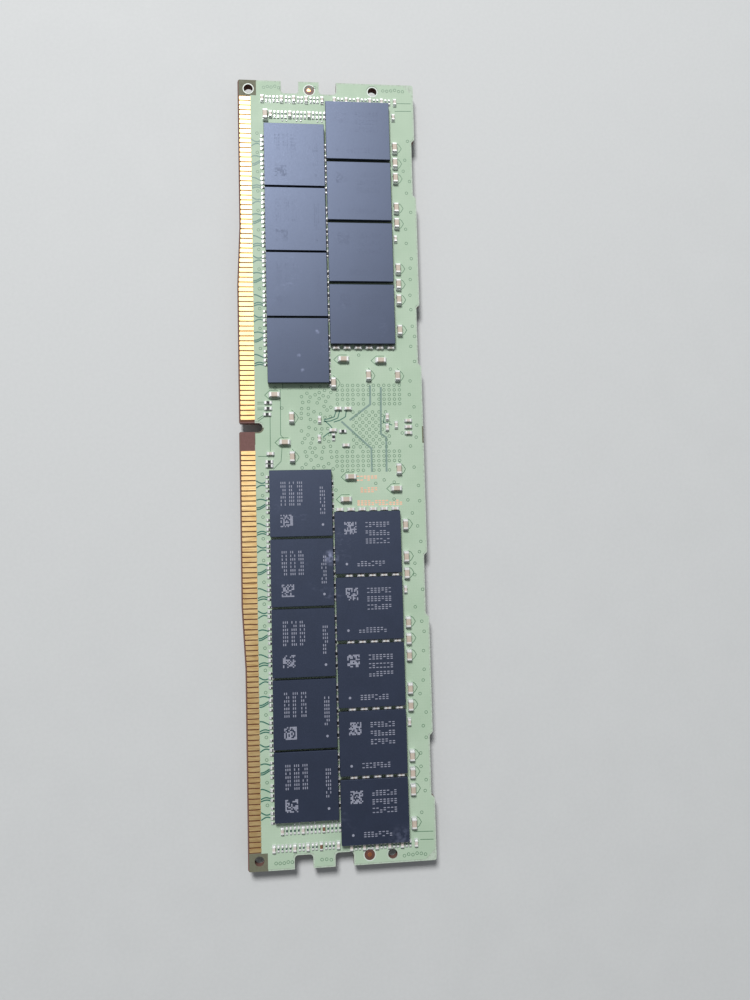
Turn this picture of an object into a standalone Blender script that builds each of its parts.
"""Registered memory module: a card with gold edge contacts and memory packages on both faces.

Run it with blender --background --python part.py, or from Blender's text editor.

X runs along the card, +Y from the contact edge to the top edge, and +Z out of the back face.
The card lies on its front packages, so their outer faces are at Z = 0.
Places on the card are given as (along, up): the distance from the -X end and the distance
from the lowest part of the contact edge.
"""

import math

import bmesh
import bpy
from mathutils import Matrix, Vector
from mathutils.kdtree import KDTree

MM = 0.001

# The card, with its solder mask.
CARD_LENGTH = 133.35 * MM
CARD_HEIGHT = 31.25 * MM
CARD_THICKNESS = 1.40 * MM
MASK_THICKNESS = 0.04 * MM
MASK_INSET = 0.25 * MM
MASK_START = 2.70 * MM
LAYER_GAP = 0.01 * MM
CORNER_RADIUS = 0.4 * MM
ARC_STEPS = 6

# The contact edge: its middle stands lower than its ends, and one slot keys it.
EDGE_STEP = 0.50 * MM
EDGE_RAMPS = ((26.3 * MM, 36.5 * MM), (90.9 * MM, 101.1 * MM))
EDGE_CHAMFER = 0.22 * MM
SAME_PLACE = 0.0001 * MM
KEY_CENTRE = 61.10 * MM
KEY_WIDTH = 1.50 * MM
KEY_DEPTH = 3.90 * MM
KEY_MOUTH_RADIUS = 0.25 * MM

# The latch notches in both ends, and the shallow recesses in the top edge.
LATCH_CENTRES = (9.5 * MM, 16.1 * MM)
LATCH_WIDTH = 3.0 * MM
LATCH_DEPTH = 2.2 * MM
LATCH_RADIUS = 0.6 * MM
RECESS_SPANS = ((10.0 * MM, 20.7 * MM), (39.8 * MM, 50.7 * MM))
RECESS_DEPTH = 0.55 * MM
RECESS_RADIUS = 0.3 * MM

# Holes and the openings that the solder mask leaves.
TOOLING_HOLES = ((1.60 * MM, 2.35 * MM), (1.45 * MM, 24.0 * MM))
TOOLING_RADIUS = 0.78 * MM
TOOLING_CLEARANCE = 1.08 * MM
FIDUCIALS = ((1.55 * MM, 12.9 * MM), (CARD_LENGTH - 1.55 * MM, 20.2 * MM))
FIDUCIAL_CLEARANCE = 0.9 * MM
HOLE_SEGMENTS = 28
BARE_CORNER = (2.8 * MM, 3.7 * MM)
MASK_CORNER_CUT = 1.7 * MM

# The edge contacts: two groups on each face.
CONTACT_PITCH = 0.85 * MM
CONTACT_WIDTH = 0.60 * MM
CONTACT_TOP = 2.56 * MM
CONTACT_SETBACK = 0.27 * MM
CONTACT_THICKNESS = 0.05 * MM
CONTACT_TIE = 0.12 * MM
CONTACT_GROUPS = {"short": (3.35 * MM, 67), "long": (65.40 * MM, 77)}

# Memory packages: a row by the contacts and a row by the top edge, in two banks.
DRAM_LONG = 11.10 * MM
DRAM_SHORT = 10.35 * MM
DRAM_BODY = 0.90 * MM
PACKAGE_STANDOFF = 0.30 * MM
LOWER_ROW = 10.10 * MM
UPPER_ROW = 21.15 * MM
LOWER_BANKS = ((31.03 * MM, 11.43 * MM, 4), (97.05 * MM, 11.50 * MM, 5))
UPPER_BANKS = ((25.57 * MM, 10.87 * MM, 4), (102.70 * MM, 10.95 * MM, 5))
PACKAGE_CHAMFER = 0.05 * MM

# The two other circuits, both on the front face.
REGISTER_CENTRE = (61.4 * MM, 20.8 * MM)
REGISTER_SIZE = (8.0 * MM, 13.5 * MM)
REGISTER_BODY = 0.80 * MM
REGISTER_BASE = 0.35 * MM
REGISTER_RIM = 0.5 * MM
SENSOR_CENTRE = (60.6 * MM, 9.2 * MM)
SENSOR_SIZE = (3.0 * MM, 2.0 * MM)
SENSOR_BODY = 0.60 * MM
SENSOR_STANDOFF = 0.04 * MM

# Ceramic capacitors: along, up, and whether the long side runs along the card.
CAPACITOR_SIZE = (1.60 * MM, 0.80 * MM, 0.80 * MM)
CAPACITOR_END = 0.32 * MM
CAPACITOR_SHRINK = 0.03 * MM
CAPACITOR_STANDOFF = 0.03 * MM
CAPACITORS = (
    (6.4, 5.2, True),
    (49.5, 17.8, False),
    (49.7, 24.2, False),
    (52.3, 22.0, True),
    (52.4, 27.0, True),
    (53.6, 16.0, True),
    (55.6, 6.0, False),
    (59.5, 8.8, True),
    (63.7, 7.6, False),
    (66.2, 8.8, True),
    (68.5, 26.8, True),
    (69.7, 18.6, False),
    (71.8, 26.3, False),
    (73.5, 17.7, False),
)

CARD_BOTTOM = PACKAGE_STANDOFF + DRAM_BODY
CARD_TOP = CARD_BOTTOM + CARD_THICKNESS
CARD_MIDDLE = CARD_BOTTOM + CARD_THICKNESS / 2


def clear_scene():
    for obj in list(bpy.data.objects):
        bpy.data.objects.remove(obj, do_unlink=True)


def new_collection(name):
    collection = bpy.data.collections.new(name)
    bpy.context.scene.collection.children.link(collection)
    return collection


def make_material(name, colour, roughness, metallic=0.0):
    material = bpy.data.materials.new(name)
    material.use_nodes = True
    shader = material.node_tree.nodes["Principled BSDF"]
    shader.inputs["Base Color"].default_value = (*colour, 1.0)
    shader.inputs["Roughness"].default_value = roughness
    shader.inputs["Metallic"].default_value = metallic
    material.diffuse_color = (*colour, 1.0)
    return material


def place(along, up, height):
    """A place on the card as a point in the module's own frame."""
    return Vector((along - CARD_LENGTH / 2, up - CARD_HEIGHT / 2, height))


def rounded(corners):
    """The outline through (along, up, radius) corners, with an arc at each that has a radius."""
    points = []
    for index, (along, up, radius) in enumerate(corners):
        corner = Vector((along, up))
        if not radius:
            points.append(corner)
            continue
        before = Vector(corners[index - 1][:2]) - corner
        after = Vector(corners[(index + 1) % len(corners)][:2]) - corner
        half = before.angle(after) / 2
        turn = -1 if after.cross(before) < 0 else 1
        centre = corner + (before.normalized() + after.normalized()).normalized() * radius / math.sin(half)
        start = corner + before.normalized() * radius / math.tan(half) - centre
        for step in range(ARC_STEPS + 1):
            angle = turn * (math.pi - 2 * half) * step / ARC_STEPS
            points.append(centre + Matrix.Rotation(angle, 2) @ start)
    return points


def inset(corners, distance):
    """The same anticlockwise corners with each side moved inwards."""
    sides = []
    for index, (along, up, _) in enumerate(corners):
        start = Vector(corners[index - 1][:2])
        direction = (Vector((along, up)) - start).normalized()
        inward = Vector((-direction.y, direction.x)) * distance
        sides.append((start + inward, direction))
    moved = []
    for index, (_, _, radius) in enumerate(corners):
        start, direction = sides[index]
        other, heading = sides[(index + 1) % len(corners)]
        reach = (other - start).cross(heading) / direction.cross(heading)
        moved.append((*(start + direction * reach), radius))
    return moved


def circle(centre, radius):
    turns = [2 * math.pi * step / HOLE_SEGMENTS for step in range(HOLE_SEGMENTS)]
    return [Vector(centre) + radius * Vector((math.cos(turn), math.sin(turn))) for turn in turns]


def mirrored(along):
    return CARD_LENGTH - along


def at_both_ends(places):
    return [*places, *((mirrored(along), up) for along, up in places)]


def end_corners(top_corner):
    """The -X half of the top edge and the -X end, with the given points where they meet."""
    corners = []
    low = CARD_HEIGHT - RECESS_DEPTH
    for start, end in reversed(RECESS_SPANS):
        corners += [
            (end, CARD_HEIGHT, RECESS_RADIUS),
            (end - RECESS_DEPTH, low, RECESS_RADIUS),
            (start + RECESS_DEPTH, low, RECESS_RADIUS),
            (start, CARD_HEIGHT, RECESS_RADIUS),
        ]
    corners += top_corner
    for centre in reversed(LATCH_CENTRES):
        high, low = centre + LATCH_WIDTH / 2, centre - LATCH_WIDTH / 2
        corners += [
            (0, high, 0),
            (LATCH_DEPTH, high, LATCH_RADIUS),
            (LATCH_DEPTH, low, LATCH_RADIUS),
            (0, low, 0),
        ]
    return corners


def with_far_end(corners):
    """Adds the +X end and its half of the top edge, the mirror image of the -X end's."""
    return [(mirrored(along), up, radius) for along, up, radius in reversed(corners)] + corners


def key_corners(base, margin, mouth_radius=0):
    """The key slot, cut from this base line up, with its sides and its round end moved by the margin."""
    left = KEY_CENTRE - KEY_WIDTH / 2 - margin
    right = KEY_CENTRE + KEY_WIDTH / 2 + margin
    radius = (right - left) * 0.49
    depth = KEY_DEPTH + margin
    return [
        (left, base, mouth_radius),
        (left, depth, radius),
        (right, depth, radius),
        (right, base, mouth_radius),
    ]


def card_corners():
    (near, near_low), (far_low, far) = EDGE_RAMPS
    contact_edge = [
        (0, EDGE_STEP, CORNER_RADIUS),
        (near, EDGE_STEP, 0),
        (near_low, 0, 0),
        *key_corners(0, 0, KEY_MOUTH_RADIUS),
        (far_low, 0, 0),
        (far, EDGE_STEP, 0),
        (CARD_LENGTH, EDGE_STEP, CORNER_RADIUS),
    ]
    return contact_edge + with_far_end(end_corners([(0, CARD_HEIGHT, CORNER_RADIUS)]))


def edge_height(along):
    """How high the contact edge stands at this distance from the -X end."""
    (near, near_low), (far_low, far) = EDGE_RAMPS
    if along < near_low:
        return EDGE_STEP * min(1, (near_low - along) / (near_low - near))
    return EDGE_STEP * min(1, max(0, (along - far_low) / (far - far_low)))


def mask_corners():
    """The solder mask stops short of the card's sides, the contacts and four bare corners."""
    side, high = BARE_CORNER
    cut = [(MASK_CORNER_CUT, CARD_HEIGHT, 0), (0, CARD_HEIGHT - MASK_CORNER_CUT, 0)]
    base = [(0, 0, 0), (CARD_LENGTH, 0, 0)]
    sides = inset(with_far_end(end_corners(cut)) + base, MASK_INSET)[: -len(base)]
    return [
        (MASK_INSET, high, 0),
        (side, high, 0),
        (side, MASK_START, 0),
        *key_corners(MASK_START, MASK_INSET),
        (mirrored(side), MASK_START, 0),
        (mirrored(side), high, 0),
        (CARD_LENGTH - MASK_INSET, high, 0),
        *sides,
    ]


def contact_outline(start, count):
    """One group of contacts as a comb, tied together by a thin strip at their inner ends."""
    half = CONTACT_WIDTH / 2
    centres = [start + CONTACT_PITCH * index for index in range(count)]
    points = [Vector((centres[-1] + half, CONTACT_TOP)), Vector((centres[0] - half, CONTACT_TOP))]
    for index, centre in enumerate(centres):
        left, right = centre - half, centre + half
        foot = max(edge_height(left), edge_height(right)) + CONTACT_SETBACK
        if index:
            points.append(Vector((left, CONTACT_TOP - CONTACT_TIE)))
        points += [Vector((left, foot)), Vector((right, foot))]
        if index < count - 1:
            points.append(Vector((right, CONTACT_TOP - CONTACT_TIE)))
    return points


def flat_mesh(name, outlines, thickness):
    """A closed slab of this thickness, centred on Z = 0, whose first outline is its outside.

    The curve is drawn in millimetres: in metres, the fill joins points 0.03 mm apart and loses holes.
    """
    curve = bpy.data.curves.new(name, "CURVE")
    curve.dimensions = "2D"
    curve.fill_mode = "BOTH"
    curve.extrude = thickness / 2 / MM
    for outline in outlines:
        spline = curve.splines.new("POLY")
        spline.points.add(len(outline) - 1)
        spline.use_cyclic_u = True
        for point, (along, up) in zip(spline.points, outline):
            point.co = (*(place(along, up, 0) / MM), 1)
    guide = bpy.data.objects.new(name + "_guide", curve)
    bpy.context.scene.collection.objects.link(guide)
    graph = bpy.context.evaluated_depsgraph_get()
    mesh = bpy.data.meshes.new_from_object(guide.evaluated_get(graph))
    bpy.data.objects.remove(guide)
    bpy.data.curves.remove(curve)
    mesh.name = name
    mesh.transform(Matrix.Scale(MM, 4))
    shape = bmesh.new()
    shape.from_mesh(mesh)
    bmesh.ops.remove_doubles(shape, verts=shape.verts, dist=SAME_PLACE)
    bmesh.ops.recalc_face_normals(shape, faces=shape.faces)
    shape.to_mesh(mesh)
    shape.free()
    return mesh


def add_object(name, mesh, collection, material, location=(0, 0, 0), turn=0.0):
    obj = bpy.data.objects.new(name, mesh)
    obj.location = location
    obj.rotation_euler.z = turn
    collection.objects.link(obj)
    if not mesh.materials:
        mesh.materials.append(material)
    return obj


def rim_point(foot):
    """Where the rim of the card stands in from a foot on its outline, over the contact edge's chamfer."""
    along, up = foot
    return Vector((along, max(up, edge_height(along) + EDGE_CHAMFER)))


def chamfer_contact_edge(mesh, outline):
    """Splits the walls below the rim in three, and moves their middles out to the outline."""
    rims = KDTree(len(outline))
    for index, foot in enumerate(outline):
        rims.insert(place(*rim_point(foot), 0), index)
    rims.balance()

    def foot_below(vert):
        """The outline point that belongs to this corner, and how far the chamfer falls to it."""
        _, index, distance = rims.find((*vert.co.xy, 0))
        foot = outline[index]
        return foot, rim_point(foot).y - foot.y if distance < SAME_PLACE else 0

    shape = bmesh.new()
    shape.from_mesh(mesh)
    posts = []
    for edge in shape.edges:
        first, second = edge.verts
        upright = (first.co - second.co).xy.length < SAME_PLACE
        if upright and foot_below(first)[1] > SAME_PLACE:
            posts.append(edge)
    bmesh.ops.subdivide_edges(shape, edges=posts, cuts=2)
    for vert in shape.verts:
        if abs(vert.co.z) < CARD_THICKNESS / 2 - SAME_PLACE:
            foot, fall = foot_below(vert)
            vert.co = place(*foot, math.copysign(CARD_THICKNESS / 2 - fall, vert.co.z))
    shape.to_mesh(mesh)
    shape.free()


def make_card(parts, material):
    holes = [circle(centre, TOOLING_RADIUS) for centre in at_both_ends(TOOLING_HOLES)]
    outline = rounded(card_corners())
    rim = [rim_point(foot) for foot in outline]
    mesh = flat_mesh("circuit_board", [rim, *holes], CARD_THICKNESS)
    chamfer_contact_edge(mesh, outline)
    add_object("circuit_board", mesh, parts, material, (0, 0, CARD_MIDDLE))


def make_masks(parts, material):
    rings = [circle(centre, TOOLING_CLEARANCE) for centre in at_both_ends(TOOLING_HOLES[1:])]
    rings += [circle(centre, FIDUCIAL_CLEARANCE) for centre in FIDUCIALS]
    outside = rounded(mask_corners())
    reach = LAYER_GAP + MASK_THICKNESS / 2
    for side, height in (("back", CARD_TOP + reach), ("front", CARD_BOTTOM - reach)):
        mesh = flat_mesh(f"solder_mask_{side}", [outside, *rings], MASK_THICKNESS)
        add_object(mesh.name, mesh, parts, material, (0, 0, height))


def make_contacts(parts, material):
    reach = LAYER_GAP + CONTACT_THICKNESS / 2
    for group, (start, count) in CONTACT_GROUPS.items():
        for side, height in (("back", CARD_TOP + reach), ("front", CARD_BOTTOM - reach)):
            name = f"contacts_{side}_{group}"
            mesh = flat_mesh(name, [contact_outline(start, count)], CONTACT_THICKNESS)
            add_object(name, mesh, parts, material, (0, 0, height))


def block_mesh(name, size, boxes, chamfer):
    """Boxes given as (centre, size) shares of size, joined into one body with chamfered edges."""
    stock = []
    for index, (centre, share) in enumerate(boxes):
        shape = bmesh.new()
        bmesh.ops.create_cube(shape, size=1.0)
        bmesh.ops.scale(shape, vec=[a * b for a, b in zip(size, share)], verts=shape.verts)
        bmesh.ops.translate(shape, vec=[a * b for a, b in zip(size, centre)], verts=shape.verts)
        mesh = bpy.data.meshes.new(f"{name}_box_{index}")
        shape.to_mesh(mesh)
        shape.free()
        stock.append(bpy.data.objects.new(mesh.name, mesh))
        bpy.context.scene.collection.objects.link(stock[-1])
    body = stock[0]
    for other in stock[1:]:
        join = body.modifiers.new("join", "BOOLEAN")
        join.operation = "UNION"
        join.solver = "EXACT"
        join.object = other
    bevel = body.modifiers.new("chamfer", "BEVEL")
    bevel.width = chamfer
    bevel.segments = 1
    bevel.limit_method = "ANGLE"
    graph = bpy.context.evaluated_depsgraph_get()
    mesh = bpy.data.meshes.new_from_object(body.evaluated_get(graph))
    mesh.name = name
    for obj in stock:
        bpy.data.objects.remove(obj)
    return mesh


def solid_box(name, size):
    return block_mesh(name, size, [((0, 0, 0), (1, 1, 1))], PACKAGE_CHAMFER)


def bank_centres(banks):
    """The package centres along one row, from its banks' middles, pitches and counts."""
    return [
        middle + pitch * (index - (count - 1) / 2)
        for middle, pitch, count in banks
        for index in range(count)
    ]


def make_memory(parts, material):
    mesh = solid_box("memory_package", (DRAM_LONG, DRAM_SHORT, DRAM_BODY))
    reach = PACKAGE_STANDOFF + DRAM_BODY / 2
    rows = (("lower", LOWER_ROW, LOWER_BANKS, 0.0), ("upper", UPPER_ROW, UPPER_BANKS, math.pi / 2))
    for side, height in (("back", CARD_TOP + reach), ("front", CARD_BOTTOM - reach)):
        for row, up, banks, turn in rows:
            for index, along in enumerate(bank_centres(banks), 1):
                name = f"dram_{side}_{row}_{index}"
                add_object(name, mesh, parts, material, place(along, up, height), turn)


def make_register(parts, material):
    """A moulded chip on a laminate base that is a little wider than it."""
    length, width = REGISTER_SIZE
    height = REGISTER_BODY
    base = REGISTER_BASE / height
    rim = (1 - 2 * REGISTER_RIM / length, 1 - 2 * REGISTER_RIM / width)
    boxes = [
        ((0, 0, (1 - base) / 2), (1, 1, base)),
        ((0, 0, 0), (*rim, 1)),
    ]
    mesh = block_mesh("register_clock_driver", (length, width, height), boxes, PACKAGE_CHAMFER)
    centre = place(*REGISTER_CENTRE, CARD_BOTTOM - PACKAGE_STANDOFF - height / 2)
    add_object("register_clock_driver", mesh, parts, material, centre)


def make_sensor(parts, material):
    size = (*SENSOR_SIZE, SENSOR_BODY)
    reach = LAYER_GAP + MASK_THICKNESS + SENSOR_STANDOFF + SENSOR_BODY / 2
    centre = place(*SENSOR_CENTRE, CARD_BOTTOM - reach)
    add_object("spd_temperature_sensor", solid_box("sensor_body", size), parts, material, centre)


def make_capacitors(parts, material):
    """Small ceramic blocks whose two metal ends stand slightly proud of the middle."""
    length, width, height = CAPACITOR_SIZE
    end = CAPACITOR_END / length
    middle = (1 - end, 1 - 2 * CAPACITOR_SHRINK / width, 1 - 2 * CAPACITOR_SHRINK / height)
    ends = [((side * (1 - end) / 2, 0, 0), (end, 1, 1)) for side in (-1, 1)]
    boxes = [((0, 0, 0), middle), *ends]
    mesh = block_mesh("ceramic_capacitor", CAPACITOR_SIZE, boxes, CAPACITOR_SHRINK / 2)
    reach = LAYER_GAP + MASK_THICKNESS + CAPACITOR_STANDOFF + height / 2
    for index, (along, up, lengthways) in enumerate(CAPACITORS, 1):
        centre = place(along * MM, up * MM, CARD_TOP + reach)
        turn = 0.0 if lengthways else math.pi / 2
        add_object(f"capacitor_back_{index}", mesh, parts, material, centre, turn)


def main():
    clear_scene()
    parts = new_collection("ram_module")
    laminate = make_material("laminate", (0.30, 0.22, 0.12), 0.7)
    mask = make_material("solder_mask", (0.20, 0.42, 0.24), 0.4)
    gold = make_material("gold_contacts", (0.85, 0.62, 0.30), 0.25, 1.0)
    moulding = make_material("package_moulding", (0.06, 0.065, 0.10), 0.5)
    chip = make_material("chip_moulding", (0.03, 0.03, 0.035), 0.5)
    ceramic = make_material("ceramic", (0.50, 0.38, 0.32), 0.5)
    make_card(parts, laminate)
    make_masks(parts, mask)
    make_contacts(parts, gold)
    make_memory(parts, moulding)
    make_register(parts, chip)
    make_sensor(parts, chip)
    make_capacitors(parts, ceramic)


main()
